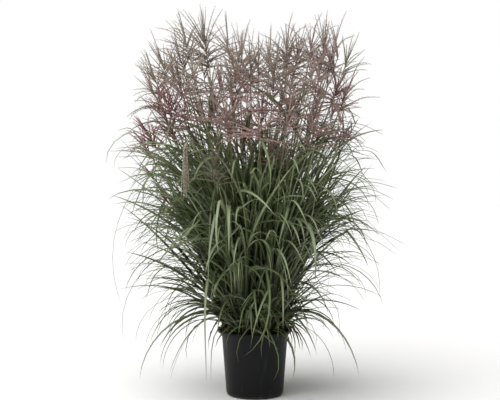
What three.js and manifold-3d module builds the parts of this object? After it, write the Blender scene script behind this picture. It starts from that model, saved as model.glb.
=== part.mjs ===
// A Chinese silver grass in flower, standing in the black container it was grown in.
// Millimetres, +Z up. The origin is the centre of the container's underside.
//
// The clump is eleven tufts. Each stands in a hole in the soil and carries three stems with their
// leaves, and every stem ends in a panicle: a short axis with a spray of long, slim racemes.

import * as THREE from "three";
import { mergeVertices } from "three/addons/utils/BufferGeometryUtils.js";
import Module from "manifold-3d";

const wasm = await Module();
wasm.setup();

// Driving dimensions

const pot = {
  sides: 24,
  height: 200,
  wall: 1.8,
  lipRadius: 112.5, // over the turned-out lip
  lipHeight: 8,
  bandRadius: 105.5, // of the stacking band under the lip
  bandHeight: 22, // from the top down to the step
  bodyRadius: 99, // just under the step
  baseRadius: 86.5,
  cornerRise: 12, // of the rounded bottom edge
  padRadius: 26, // of the middle of the base, which stands on the ground
  footInner: 70, // the ring round the edge that stands on the ground too
  footOuter: 76,
  floorLift: 4, // of the base between the two
  holes: 6,
  holeRadius: 5,
  holeCircle: 48,
};

const soil = {
  top: 178,
  gap: 0.4, // to the container all round
  bumps: 2.2,
  rings: 2,
};

const crown = {
  tufts: 11,
  circle: 76, // the outermost tufts stand about this far from the middle
  radius: 14, // of the knot of old leaf bases that each tuft grows from
  depth: 24, // of the knot below the soil
  height: 7, // and above it
  sides: 6,
  play: 0.3, // round the knot in its hole
  sunk: 3, // how far below the knot's top its stems and leaves start
  stemCircle: 5.2, // the stems of a tuft stand this far from its middle
  leafCircle: 11.5, // and the leaves that come from the knot itself this far
};

const stem = {
  perTuft: 3,
  baseRadius: 3.2,
  topRadius: 1.7,
  splay: 3.5, // how much further out the tops of the tufts stand than their feet
  lowSplay: 0.15, // and how much of that the lowest stems have on top
  spread: 56, // of the tops of one tuft's stems, round the tuft
  lowest: 630, // height of the lowest panicle's foot, and of the highest
  highest: 1010,
  dip: 70, // how much lower the panicles are in the middle of the plant, seen from the front
  dipHalfWidth: 150,
  early: 0.45, // share of the lean that a stem has from its foot, the rest comes with height
  stride: 14, // from one stem to the next in their order of height, which mixes tall and short ones
  steps: 4,
  sides: 3,
};

// Angles in radians
const leaf = {
  perStem: 6,
  perCrown: 5,
  halfWidth: 4.1,
  halfThickness: 0.62,
  footHalfWidth: 1.3, // where it grows out of the stem, which it is sunk into
  lowest: 0.06, // where the leaves are on a stem, as a share of its height
  highest: 0.76,
  opening: [0.26, 0.42], // between the stem and the foot of a leaf
  bend: [0.5, 1.2], // from the foot of a leaf to its tip
  outerBend: [0.5, 1.4], // what a leaf at the edge of the plant has on top
  length: [380, 540],
  shorter: 230, // what the length falls by up a stem
  crownOpening: [0.08, 0.4],
  crownBend: [1.1, 2.8],
  crownLength: [280, 470],
  twist: [-0.3, 0.3],
  steps: 4,
};

const panicle = {
  axisLength: 76,
  axisRadius: 1.9,
  axisSides: 3,
  seat: 0.3, // between the stem's end and the panicle's foot
  racemes: 8,
  racemeRadius: 1.9,
  racemeFoot: 0.6,
  length: [95, 140],
  open: 1, // angle between the axis and its lowest raceme, and how much less the highest has
  closing: 0.5,
  bend: [0.1, 0.6],
  ripe: 0.55, // the share of the stems whose panicles are ripe, the rest are young
  youngOpen: 0.65,
  youngBend: [0.5, 1.3],
  youngLength: 0.85,
  youngSide: 3, // the angle that the racemes of a young panicle stand within
  steps: 2,
};

const up = new THREE.Vector3(0, 0, 1);
const goldenAngle = Math.PI * (3 - Math.sqrt(5));
const clearance = 0.9; // between things that grow past each other
const tries = 60; // draws for each leaf or raceme before it is left out
const frontLoad = 0.8; // below 1, the stretches nearest the root are the longest
const ground = 40; // the lowest that a leaf hangs

// Seeded draws, so that the plant grows the same way each time

let seed = 65;

function chance() {
  seed = (seed * 1664525 + 1013904223) % 4294967296;
  return seed / 4294967296;
}

function between(low, high) {
  return low + (high - low) * chance();
}

function within([low, high]) {
  return between(low, high);
}

function numbered(index) {
  return String(index + 1).padStart(2, "0");
}

// Solids

function solidOf(geometry) {
  const bare = new THREE.BufferGeometry().setAttribute("position", geometry.getAttribute("position"));
  bare.setIndex(geometry.index);
  const merged = mergeVertices(bare, 1e-3);
  return new wasm.Manifold(
    new wasm.Mesh({
      numProp: 3,
      vertProperties: merged.attributes.position.array,
      triVerts: new Uint32Array(merged.index.array),
    }),
  );
}

function joined(solids) {
  return solids.reduce((whole, piece) => whole.add(piece));
}

function meshOf(solid, name, material) {
  const { vertProperties, triVerts } = solid.getMesh();
  const geometry = new THREE.BufferGeometry()
    .setAttribute("position", new THREE.BufferAttribute(vertProperties, 3))
    .setIndex(new THREE.BufferAttribute(triVerts, 1));
  geometry.computeVertexNormals();
  const mesh = new THREE.Mesh(geometry, material.clone());
  mesh.name = name;
  return mesh;
}

function turned(profile, sides) {
  const outline = profile.map(([radius, height]) => new THREE.Vector2(radius, height));
  return solidOf(new THREE.LatheGeometry(outline, sides).rotateX(Math.PI / 2));
}

function upright(radius, low, high, sides) {
  return new THREE.CylinderGeometry(radius, radius, high - low, sides)
    .rotateX(Math.PI / 2)
    .translate(0, 0, (low + high) / 2);
}

// The two faces beside a blade's keel are split like the face above them, so that a turned blade
// keeps its thickness. Each side of the rod has one triangle at the tip, and then pairs.
function splitAlike(triangles, steps) {
  const perSide = 2 * steps - 1;
  for (const side of [0, 2]) {
    for (let k = 0; k < steps - 1; k++) {
      const at = 3 * (side * perSide + 1 + 2 * k);
      const [a, b, d, , c] = triangles.slice(at, at + 5);
      triangles.set([a, b, c, a, c, d], at);
    }
  }
}

// A closed rod of rings along a path. Its section is a polygon, flattened to the half width and
// half thickness that size(share of the length) gives. Three sides make a blade with a keel under it.
// Each ring is square to the stretch before it, or with parallel all of them are to the whole path.
function rod(path, sides, size, { pointed = false, parallel = false, twist = 0 } = {}) {
  const steps = path.length - 1;
  const geometry = new THREE.CylinderGeometry(pointed ? 0 : 1, 1, 1, sides, steps);
  const position = geometry.getAttribute("position");
  const rings = path.map((point, k) => {
    const [from, to] = parallel ? [path[0], path[steps]] : [path[Math.max(k - 1, 0)], path[Math.max(k, 1)]];
    const ahead = to.clone().sub(from).normalize();
    const side = new THREE.Vector3(-ahead.y, ahead.x, 0).normalize();
    side.applyAxisAngle(ahead, (twist * Math.max(k - 1, 0)) / steps);
    return { point, side, under: side.clone().cross(ahead), size: size(k / steps) };
  });
  for (let i = 0; i < position.count; i++) {
    const ring = rings[Math.round((position.getY(i) + 0.5) * steps)];
    const [x, z] = [position.getX(i), position.getZ(i)];
    const radius = Math.hypot(x, z);
    const [across, below] = radius > 1e-6 ? [x / radius, z / radius] : [0, 0];
    const place = ring.point
      .clone()
      .addScaledVector(ring.side, across * ring.size[0])
      .addScaledVector(ring.under, below * ring.size[1]);
    position.setXYZ(i, place.x, place.y, place.z);
  }
  if (pointed) splitAlike(geometry.index.array, steps);
  return solidOf(geometry);
}

// Container

// Its inner radius at a height, which the soil follows
function innerRadius(height) {
  const rise = (height - pot.cornerRise) / (pot.height - pot.bandHeight - pot.cornerRise);
  return pot.baseRadius + (pot.bodyRadius - pot.baseRadius) * rise - pot.wall;
}

function makePot() {
  const top = pot.height;
  const step = top - pot.bandHeight;
  const floor = pot.floorLift + pot.wall;
  const outside = [
    [0, 0],
    [pot.padRadius, 0],
    [pot.padRadius + 4, pot.floorLift],
    [pot.footInner - 3, pot.floorLift],
    [pot.footInner, 0],
    [pot.footOuter, 0],
    [pot.baseRadius - 3, pot.cornerRise * 0.3],
    [pot.baseRadius, pot.cornerRise],
    [pot.bodyRadius, step],
    [pot.bandRadius - 1, step + 8],
    [pot.bandRadius, top - pot.lipHeight],
    [pot.lipRadius, top - pot.lipHeight],
    [pot.lipRadius, top - 2],
  ];
  const inside = [
    [pot.lipRadius - 2, top],
    [pot.bandRadius - pot.wall, top],
    [pot.bandRadius - 1 - pot.wall, step + 9],
    [innerRadius(step), step + 1],
    [innerRadius(pot.cornerRise), pot.cornerRise + 1],
    [pot.footOuter, floor],
    [0, floor],
  ];
  const hole = solidOf(upright(pot.holeRadius, -1, floor + 1, 6).translate(pot.holeCircle, 0, 0));
  let made = turned([...outside, ...inside], pot.sides);
  for (let k = 0; k < pot.holes; k++) {
    made = made.subtract(hole.rotate([0, 0, (k * 360) / pot.holes]));
  }
  return made;
}

// Soil, with a hole for each tuft

function makeSoil(feet) {
  const floor = pot.floorLift + pot.wall + soil.gap;
  const edge = innerRadius(soil.top) - soil.gap;
  const profile = [
    [0, floor],
    [pot.footOuter - soil.gap, floor],
    [innerRadius(pot.cornerRise) - soil.gap, pot.cornerRise + 2],
  ];
  for (let k = 0; k <= soil.rings; k++) {
    profile.push([edge * (1 - k / soil.rings), soil.top]);
  }
  const geometry = new THREE.LatheGeometry(
    profile.map(([radius, height]) => new THREE.Vector2(radius, height)),
    pot.sides,
  ).rotateX(Math.PI / 2);
  const position = geometry.getAttribute("position");
  for (let i = 0; i < position.count; i++) {
    const [x, y, z] = [position.getX(i), position.getY(i), position.getZ(i)];
    if (z < soil.top - 1) continue;
    const wave = Math.sin(x / 9 + 1) + Math.cos(y / 11) + Math.sin((x + y) / 17);
    position.setZ(i, soil.top + (soil.bumps / 3) * wave);
  }
  const bottom = soil.top - crown.depth - crown.play;
  const hole = solidOf(upright(crown.radius + 2 * crown.play, bottom, soil.top + 20, crown.sides));
  return feet.reduce((made, foot) => made.subtract(hole.translate([foot.x, foot.y, 0])), solidOf(geometry));
}

// Growth. A path is a list of points. Every stretch that has grown is kept, and whatever grows
// later is drawn again until it passes all of them, so that no two pieces run through each other.

const grown = [];

// A direction that opens from another by an angle, towards a compass heading
function opened(along, heading, angle) {
  const aside = new THREE.Vector3(Math.cos(heading), Math.sin(heading), 0);
  return along.clone().multiplyScalar(Math.cos(angle)).addScaledVector(aside, Math.sin(angle)).normalize();
}

// A path that sets off in a direction and bends over as it gets longer, as a leaf does
function arch(start, direction, { bend, length, steps, power, swing = 0 }) {
  const lean = Math.acos(direction.z);
  const heading = Math.atan2(direction.y, direction.x);
  const path = [start.clone()];
  for (let k = 0; k < steps; k++) {
    const share = k / (steps - 1);
    const tilt = lean + bend * share ** power;
    const turn = heading + swing * share;
    const step = new THREE.Vector3(
      Math.sin(tilt) * Math.cos(turn),
      Math.sin(tilt) * Math.sin(turn),
      Math.cos(tilt),
    );
    const part = ((k + 1) / steps) ** frontLoad - (k / steps) ** frontLoad;
    path.push(path[k].clone().addScaledVector(step, length * part));
  }
  return path;
}

// The parts of a path, with how wide it is there. Its first stretch, where it widens, has three.
function stretches(path, halfWidth) {
  const steps = path.length - 1;
  const stops = [0, 1 / 3, 2 / 3];
  for (let k = 1; k <= steps; k++) stops.push(k);
  const at = (stop) => {
    const k = Math.min(Math.floor(stop), steps - 1);
    return path[k].clone().lerp(path[k + 1], stop - k);
  };
  return stops.slice(1).map((stop, k) => {
    const line = new THREE.Line3(at(stops[k]), at(stop));
    return {
      line,
      middle: line.getCenter(new THREE.Vector3()),
      reach: line.distance() / 2,
      halfWidth: Math.max(halfWidth(stops[k] / steps), halfWidth(stop / steps)),
      isFirst: stop <= 1,
      path,
    };
  });
}

function passes(a, b) {
  const room = a.halfWidth + b.halfWidth + clearance;
  if (a.middle.distanceTo(b.middle) > a.reach + b.reach + room) return true;
  return a.line.distanceSqToLine3(b.line) > room * room;
}

// True where a path stays over the soil or outside the container
function clearsPot(path, halfWidth) {
  const samples = 12;
  return path.slice(1).every((end, k) => {
    for (let n = 0; n < samples; n++) {
      const point = path[k].clone().lerp(end, n / samples);
      const out = Math.hypot(point.x, point.y);
      if (point.z < ground) return false;
      if (point.z > pot.height + halfWidth + 1) continue;
      const inBand = point.z > pot.height - pot.lipHeight;
      const mouth = inBand ? pot.bandRadius - 1 - pot.wall : innerRadius(soil.top);
      const inMouth = out < mouth - halfWidth - 0.5 && point.z > soil.top + crown.sunk;
      if (!inMouth && out < pot.lipRadius + halfWidth + 2) return false;
    }
    return true;
  });
}

// Draws a path until it crosses nothing that has grown. Its first stretch comes out of the root,
// the one path that it may cross.
function firstClear(draw, halfWidth, root) {
  const widest = Math.max(halfWidth(0.25), halfWidth(0.5));
  for (let k = 0; k < tries; k++) {
    const path = draw(k / tries);
    if (!clearsPot(path, widest)) continue;
    const mine = stretches(path, halfWidth);
    const misses = (a, b) => (a.isFirst && b.path === root) || passes(a, b);
    if (mine.every((a) => grown.every((b) => misses(a, b)))) return path;
  }
  return null;
}

function keep(path, halfWidth) {
  grown.push(...stretches(path, halfWidth));
}

function stemHalfWidth(share) {
  return stem.baseRadius + (stem.topRadius - stem.baseRadius) * share;
}

// Room for a stem with its leaves' feet, so that the stems of two tufts stay apart
function stemRoom() {
  return stem.baseRadius + 1;
}

function leafHalfWidth(share) {
  const swell = leaf.footHalfWidth + (leaf.halfWidth - leaf.footHalfWidth) * Math.min(share / 0.2, 1);
  const taper = leaf.halfWidth * (1 - Math.max(share - 0.35, 0) / 0.65) ** 0.8;
  return Math.min(swell, taper);
}

function racemeHalfWidth(share) {
  const swell = Math.min(share / 0.5, 1);
  return share > 0.99 ? 0 : panicle.racemeFoot + (panicle.racemeRadius - panicle.racemeFoot) * swell;
}

// Where the tufts stand, and how high their stems and leaves start

const feet = [];
for (let t = 0; t < crown.tufts; t++) {
  const radius = crown.circle * Math.sqrt((t + 0.3) / (crown.tufts - 0.7));
  const angle = t * goldenAngle;
  const z = soil.top + crown.height - crown.sunk;
  feet.push(new THREE.Vector3(radius * Math.cos(angle), radius * Math.sin(angle), z));
}

// A stem leans out from its tuft, and leans more the higher it is. The last point is its panicle's head.
function stemPath(start, top) {
  const path = [];
  for (let k = 0; k <= stem.steps; k++) {
    const share = k / stem.steps;
    const out = stem.early * share + (1 - stem.early) * share * share;
    path.push(
      new THREE.Vector3(
        start.x + (top.x - start.x) * out,
        start.y + (top.y - start.y) * out,
        start.z + (top.z - start.z) * share,
      ),
    );
  }
  const along = path[stem.steps].clone().sub(path[stem.steps - 1]).normalize();
  path.push(path[stem.steps].clone().addScaledVector(along, panicle.seat + panicle.axisLength));
  return path;
}

const stems = [];
const stemCount = crown.tufts * stem.perTuft;
for (let n = 0; n < stemCount; n++) {
  const tuft = n % crown.tufts;
  const foot = feet[tuft];
  const turn = tuft * goldenAngle + (((n - tuft) / crown.tufts) * 2 * Math.PI) / stem.perTuft + 0.5;
  const rank = ((n * stem.stride) % stemCount) / stemCount; // 0 for the highest
  const start = new THREE.Vector3(Math.cos(turn), Math.sin(turn), 0).multiplyScalar(crown.stemCircle);
  start.add(foot);
  const draw = (despair) => {
    const heading = turn + between(-0.4, 0.4) * (1 + 2 * despair);
    const spread = stem.spread * between(0.7, 1.2);
    const splay = stem.splay * (1 + stem.lowSplay * rank - 0.25 * despair);
    const x = foot.x * splay + spread * Math.cos(heading);
    const y = foot.y * splay + spread * Math.sin(heading);
    const dip = stem.dip * Math.max(1 - Math.abs(x) / stem.dipHalfWidth, 0);
    const z = stem.highest - (stem.highest - stem.lowest) * rank - dip * (1 - rank);
    return stemPath(start, new THREE.Vector3(x, y, z));
  };
  const whole = firstClear(draw, stemRoom, null);
  const path = whole.slice(0, -1);
  const head = whole[whole.length - 1];
  const along = head.clone().sub(path[stem.steps]).normalize();
  const axis = [path[stem.steps].clone().addScaledVector(along, panicle.seat), head];
  keep(path, stemHalfWidth);
  keep(axis, () => panicle.axisRadius);
  stems.push({ n, tuft, path, axis, along, young: rank > panicle.ripe, leaves: [], racemes: [] });
}

// The shorter stems have the younger panicles, whose racemes are still together and nod to one side

for (const own of stems) {
  const [foot, head] = own.axis;
  const nod = Math.atan2(foot.y, foot.x) + between(-0.6, 0.6);
  for (let k = 0; k < panicle.racemes; k++) {
    const share = k / (panicle.racemes - 1);
    const start = foot.clone().lerp(head, 0.05 + 0.92 * share);
    const around = own.young
      ? nod + ((k * goldenAngle) % panicle.youngSide) - panicle.youngSide / 2
      : k * goldenAngle;
    const open = (own.young ? panicle.youngOpen : panicle.open) - panicle.closing * share;
    const draw = (despair) => {
      const heading = around + between(-0.5, 0.5) * (1 + despair);
      const angle = (share < 1 ? open : 0.15) + between(-0.1, 0.1) + 0.3 * despair;
      return arch(start, opened(own.along, heading, angle), {
        bend: within(own.young ? panicle.youngBend : panicle.bend),
        length: within(panicle.length) * (own.young ? panicle.youngLength : 1) * (1 - 0.15 * share),
        steps: panicle.steps,
        power: 1,
      });
    };
    const path = firstClear(draw, racemeHalfWidth, own.axis);
    if (!path) continue;
    keep(path, racemeHalfWidth);
    own.racemes.push(path);
  }
}

// Leaves that grow from the crown itself and arch out over the container's lip

const crownLeaves = feet.map(() => []);
for (let row = 0; row < leaf.perCrown; row++) {
  for (const foot of feet) {
    const outward = Math.atan2(foot.y, foot.x);
    const around = Math.hypot(foot.x, foot.y) > 0.4 * crown.circle ? 1.3 : 3;
    const draw = () => {
      const heading = outward + around * between(-1, 1);
      const start = foot.clone();
      start.x += crown.leafCircle * Math.cos(heading);
      start.y += crown.leafCircle * Math.sin(heading);
      return arch(start, opened(up, heading, within(leaf.crownOpening)), {
        bend: within(leaf.crownBend),
        length: within(leaf.crownLength),
        steps: leaf.steps,
        power: between(0.5, 1),
        swing: between(-0.25, 0.25),
      });
    };
    const path = firstClear(draw, leafHalfWidth, null);
    if (!path) continue;
    keep(path, leafHalfWidth);
    crownLeaves[feet.indexOf(foot)].push({ path, twist: within(leaf.twist) });
  }
}

// Leaves stand in two rows on a stem, long ones low down and short ones near the panicle

for (let row = 0; row < leaf.perStem; row++) {
  for (const own of stems) {
    const foot = own.path[0];
    const outward = Math.atan2(foot.y, foot.x);
    const rim = Math.hypot(foot.x, foot.y) / crown.circle;
    const draw = (despair) => {
      const share = leaf.lowest + ((leaf.highest - leaf.lowest) * (row + between(0, 0.9))) / leaf.perStem;
      const step = Math.floor(share * stem.steps);
      const start = own.path[step].clone().lerp(own.path[step + 1], share * stem.steps - step);
      const along = own.path[step + 1].clone().sub(own.path[step]).normalize();
      const side = row % 2 ? 1 : -1;
      const aside = side * between(0.2, 1.3) + between(-1, 1) * (0.3 + 2 * despair);
      const outer = rim * Math.max(Math.cos(aside), 0); // 1 for a leaf at the rim that points away
      return arch(start, opened(along, outward + aside, within(leaf.opening) + 0.1 * outer), {
        bend: within(leaf.bend) + within(leaf.outerBend) * outer,
        length: within(leaf.length) - leaf.shorter * share,
        steps: row < leaf.perStem - 2 ? leaf.steps : leaf.steps - 1,
        power: between(0.8, 1.3),
        swing: between(-0.3, 0.3),
      });
    };
    const path = firstClear(draw, leafHalfWidth, own.path);
    if (!path) continue;
    keep(path, leafHalfWidth);
    own.leaves.push({ path, twist: within(leaf.twist) });
  }
}

function makeLeaf({ path, twist }) {
  const size = (share) => [leafHalfWidth(share) / 0.866, leaf.halfThickness * (1 - 0.35 * share)];
  return rod(path, 3, size, { pointed: true, twist });
}

// A tuft is its knot, its stems, which go down into the knot, and their leaves
function makeTuft(tuft) {
  const foot = feet[tuft];
  const low = soil.top - crown.depth;
  const knot = upright(crown.radius, low, soil.top + crown.height, crown.sides).translate(foot.x, foot.y, 0);
  const own = stems.filter((one) => one.tuft === tuft);
  const canes = own.map((one) => {
    const path = [one.path[0].clone().setZ(soil.top - crown.depth / 2), ...one.path];
    const size = (share) => {
      const half = stemHalfWidth(Math.max((share * (stem.steps + 1) - 1) / stem.steps, 0));
      return [half, half];
    };
    return rod(path, stem.sides, size, { parallel: true });
  });
  const blades = [...own.flatMap((one) => one.leaves), ...crownLeaves[tuft]].map(makeLeaf);
  return joined([solidOf(knot), ...canes, ...blades]);
}

function makePanicle(own) {
  const axis = rod(own.axis, panicle.axisSides, (share) => {
    const half = panicle.axisRadius * (1 - 0.3 * share);
    return [half, half];
  });
  const size = (share) => {
    const half = racemeHalfWidth(share);
    return [half, half];
  };
  return joined([axis, ...own.racemes.map((path) => rod(path, 3, size, { pointed: true }))]);
}

// Materials and the finished plant

const black = new THREE.MeshStandardMaterial({ color: 0x1d1f1f, roughness: 0.55, metalness: 0 });
const peat = new THREE.MeshStandardMaterial({ color: 0x2b211b, roughness: 0.95, metalness: 0 });
const green = new THREE.MeshStandardMaterial({ color: 0x4f5f3c, roughness: 0.6, metalness: 0 });
const silver = new THREE.MeshStandardMaterial({ color: 0x8d7a76, roughness: 0.8, metalness: 0 });
const red = new THREE.MeshStandardMaterial({ color: 0x7d4a4c, roughness: 0.8, metalness: 0 });

const plant = new THREE.Group();
plant.name = "potted_silver_grass";
plant.add(meshOf(makePot(), "pot", black));
plant.add(meshOf(makeSoil(feet), "soil", peat));
feet.forEach((foot, tuft) => {
  plant.add(meshOf(makeTuft(tuft), `tuft_${numbered(tuft)}`, green));
});
for (const own of stems) {
  plant.add(meshOf(makePanicle(own), `panicle_${numbered(own.n)}`, own.young ? red : silver));
}

export default plant;
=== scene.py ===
import math
import random

import bmesh
import bpy
from mathutils import Matrix, Vector, noise


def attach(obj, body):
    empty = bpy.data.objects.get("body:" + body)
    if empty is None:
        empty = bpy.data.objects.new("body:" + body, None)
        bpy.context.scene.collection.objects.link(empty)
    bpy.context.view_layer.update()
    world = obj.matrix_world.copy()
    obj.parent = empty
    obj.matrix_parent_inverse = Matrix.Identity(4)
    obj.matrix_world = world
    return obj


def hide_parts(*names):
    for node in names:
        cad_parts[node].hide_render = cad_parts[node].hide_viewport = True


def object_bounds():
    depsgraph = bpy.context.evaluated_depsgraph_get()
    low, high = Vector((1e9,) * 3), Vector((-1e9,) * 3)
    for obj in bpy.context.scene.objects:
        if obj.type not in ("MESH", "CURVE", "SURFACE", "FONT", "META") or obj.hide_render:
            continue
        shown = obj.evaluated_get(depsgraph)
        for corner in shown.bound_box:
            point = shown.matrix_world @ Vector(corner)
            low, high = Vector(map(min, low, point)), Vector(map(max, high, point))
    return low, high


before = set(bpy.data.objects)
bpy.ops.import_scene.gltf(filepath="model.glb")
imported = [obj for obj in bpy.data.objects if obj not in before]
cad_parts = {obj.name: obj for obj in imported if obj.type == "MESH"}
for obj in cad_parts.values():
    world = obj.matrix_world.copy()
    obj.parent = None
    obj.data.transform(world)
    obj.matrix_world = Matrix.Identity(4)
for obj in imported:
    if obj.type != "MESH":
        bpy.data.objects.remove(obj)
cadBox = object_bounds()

mm = 0.001
up = Vector((0, 0, 1))
goldenAngle = math.pi * (3 - math.sqrt(5))
draw = random.Random(11)
noise.seed_set(11)  # without one the bark chips' noise would differ from run to run
scene = bpy.context.scene
tally = {}  # triangles of each piece


def between(low, high):
    return draw.uniform(low, high)


def within(pair):
    return draw.uniform(*pair)


def eitherWay(most):
    return draw.uniform(-most, most)


def mix(a, b, share):
    return a + (b - a) * share


def clamped(value):
    return min(max(value, 0), 1)


def facing(turn):
    return Vector((math.cos(turn), math.sin(turn), 0))


def aimed(toward):
    return toward.to_track_quat("-Z", "Y").to_euler()


def asMesh(bm, name):
    mesh = bpy.data.meshes.new(name)
    bm.to_mesh(mesh)
    bm.free()
    return mesh


def asObject(name, data):
    thing = bpy.data.objects.new(name, data)
    scene.collection.objects.link(thing)
    return thing


# nodes

def srgb(code):
    # "#rrggbb" as the linear colour that a socket takes
    parts = [int(code[k:k + 2], 16) / 255 for k in (1, 3, 5)]
    return [c / 12.92 if c <= 0.04045 else ((c + 0.055) / 1.055) ** 2.4 for c in parts] + [1]


def wire(tree, node, inputs):
    # inputs go by name or number: a value, "#rrggbb", a node or an output of one, a list to be multiplied,
    # or (node, low, high, least, most) for what goes from least to most while the node goes from low to high
    for name, value in inputs.items():
        if isinstance(value, list):
            value = addNode(tree, "Math", dict(enumerate(value)), operation="MULTIPLY")
        if isinstance(value, tuple) and isinstance(value[0], bpy.types.bpy_struct):
            value = addNode(tree, "MapRange", dict(enumerate(value)))
        if isinstance(value, bpy.types.Node):
            value = next(output for output in value.outputs if output.enabled)
        if isinstance(value, bpy.types.NodeSocket):
            tree.links.new(value, node.inputs[name])
        else:
            node.inputs[name].default_value = srgb(value) if isinstance(value, str) else value


def addNode(tree, kind, inputs, **settings):
    node = tree.nodes.new("ShaderNode" + kind)
    for name, value in settings.items():
        setattr(node, name, value)
    wire(tree, node, inputs)
    return node


def addMaterial(name, finish):
    material = bpy.data.materials.new(name)
    material.use_nodes = True
    tree = material.node_tree
    shader = tree.nodes["Principled BSDF"]
    wire(tree, shader, finish)
    return material, tree, shader


def coated(tree, colour, *coats):
    # each coat covers what is under it by its share
    for share, coat in coats:
        colour = addNode(tree, "Mix", {0: share, 6: colour, 7: coat}, data_type="RGBA")
    return colour


def toneOf(tree):
    # its shade, how dry or ripe it is, how deep in the clump (painted shade) or how hairy, and how green it
    # still is
    tone = addNode(tree, "Attribute", {}, attribute_name="tone")
    return [*addNode(tree, "SeparateColor", {0: tone}).outputs, tone.outputs["Alpha"]]


def placeOn(tree):
    # where a point is across and along its leaf or stem
    return addNode(tree, "SeparateXYZ", {0: addNode(tree, "UVMap", {}, uv_map="UVMap")}).outputs[:2]


def fibresOf(tree, across, along, shade, scale, **noiseInputs):
    # noise drawn out lengthwise, another one for each shade
    spot = addNode(tree, "CombineXYZ", {0: across, 1: along, 2: shade})
    drawn = addNode(tree, "VectorMath", {0: spot, 1: scale}, operation="MULTIPLY")
    return addNode(tree, "TexNoise", {"Vector": drawn, "Scale": 1.0, **noiseInputs})


# camera and studio

studio = {
    "distance": 3.5, "height": 0.78, "aim": (-0.0145, 0.0, 0.589), "lens": 84.0, "farthest": 50,
    "backdrop": "#ffffff", "sky": "#fffdfa", "skyStrength": 0.22, "floor": "#fbfbfa", "floorSize": 9,
    "lampAim": (0, 0, 0.55),
}
# softboxes, and a wide soft light from above that keeps the floor pale
lamps = {
    "key": {"at": (-2.4, -2.2, 2.6), "size": 1.6, "power": 20},
    "fill": {"at": (2.8, -2.2, 1.6), "size": 2.4, "power": 4},
}
topLight = {"toward": (0.32, 0.36, -1.0), "angle": 75, "strength": 3.1}


def makeStudio():
    camera = asObject("camera", bpy.data.cameras.new("camera"))
    camera.data.lens = studio["lens"]
    camera.data.clip_end = studio["farthest"]
    camera.location = (studio["aim"][0], -studio["distance"], studio["height"])
    camera.rotation_euler = aimed(Vector(studio["aim"]) - camera.location)
    scene.camera = camera
    scene.view_settings.view_transform = "Standard"
    for name, lamp in lamps.items():
        light = asObject(name, bpy.data.lights.new(name, "AREA"))
        light.data.size = lamp["size"]
        light.data.energy = lamp["power"]
        light.location = lamp["at"]
        light.rotation_euler = aimed(Vector(studio["lampAim"]) - light.location)
    light = asObject("top light", bpy.data.lights.new("top light", "SUN"))
    light.data.energy = topLight["strength"]
    light.data.angle = math.radians(topLight["angle"])
    light.rotation_euler = aimed(Vector(topLight["toward"]))

    # a white backdrop all round, and less light from it than it shows
    world = bpy.data.worlds.new("studio")
    scene.world = world
    world.use_nodes = True
    air = world.node_tree
    glow = air.nodes["Background"]
    wire(air, glow, {"Color": studio["sky"], "Strength": studio["skyStrength"]})
    white = addNode(air, "Background", {"Color": studio["backdrop"], "Strength": 1.0})
    seen = addNode(air, "LightPath", {}).outputs["Is Camera Ray"]
    wire(air, air.nodes["World Output"], {"Surface": addNode(air, "MixShader", {0: seen, 1: glow, 2: white})})

    bm = bmesh.new()
    bmesh.ops.create_grid(bm, x_segments=8, y_segments=8, size=studio["floorSize"])
    floor = asObject("floor", asMesh(bm, "floor"))
    # painted studio board, dead matt
    paint, tree, shader = addMaterial("studio paint", {"Roughness": 0.9})
    grain = addNode(tree, "TexNoise", {"Scale": 3.0, "Detail": 2.0})
    wire(tree, shader, {"Base Color": coated(tree, studio["floor"], (grain, "#ffffff"))})
    floor.data.materials.append(paint)


makeStudio()
print("studio ready")

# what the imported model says: where the stems end, and the paths of its leaves and racemes

crown = {
    "tufts": 11, "circle": 76,
    "innermost": 0.3,  # how far the first tuft is from the middle, in tufts
    "root": 182,  # height where stems and leaves start in the knot
    "knotTop": 185, "stemCircle": 5.2, "stemTurn": 0.5,
}
stem = {
    "perTuft": 3, "topRadius": 1.7,
    "early": 0.45,  # the share of its way out that a stem goes evenly, before it bends further out
    "steps": 4, "stride": 14, "ripe": 0.55, "seat": 0.3, "axis": 76,
}
# how the model's stems, leaves and racemes are told by their rings
signs = {
    "exact": 2e-5,  # in metres
    "shortestTip": 12, "leafRings": 3, "racemeRings": 1, "overKnot": 3, "overRoot": 2, "nearStem": 5,
    "inward": 0.3,  # how far into the knot a leaf's root lies, as a share of the way to its middle
}
count = crown["tufts"] * stem["perTuft"]


def linked(vert):
    return {edge.other_vert(vert) for edge in vert.link_edges}


def middle(verts):
    return sum((v.co for v in verts), Vector()) / len(verts)


def mergedCopy(node):
    bm = bmesh.new()
    bm.from_mesh(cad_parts[node].data)
    bmesh.ops.remove_doubles(bm, verts=bm.verts, dist=1e-6)
    return bm


def footOf(tuft):
    share = (tuft + crown["innermost"]) / (crown["tufts"] - 1 + crown["innermost"])
    radius = crown["circle"] * math.sqrt(share) * mm
    angle = tuft * goldenAngle
    return Vector((radius * math.cos(angle), radius * math.sin(angle), crown["root"] * mm))


def stemPath(start, top):
    path = []
    for k in range(stem["steps"] + 1):
        share = k / stem["steps"]
        place = start.lerp(top, stem["early"] * share + (1 - stem["early"]) * share * share)
        place.z = mix(start.z, top.z, share)
        path.append(place)
    return path


def stemTops(bm):
    # each stem ends in a triangle of its top radius
    side = stem["topRadius"] * math.sqrt(3) * mm
    tops = {}
    for v in bm.verts:
        near = [u for u in linked(v) if abs((u.co - v.co).length - side) < signs["exact"]]
        for a in near:
            for b in near:
                if a != b and b in linked(a) and abs((a.co - b.co).length - side) < signs["exact"]:
                    tops[frozenset((v, a, b))] = (v.co + a.co + b.co) / 3
    return list(tops.values())


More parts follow.
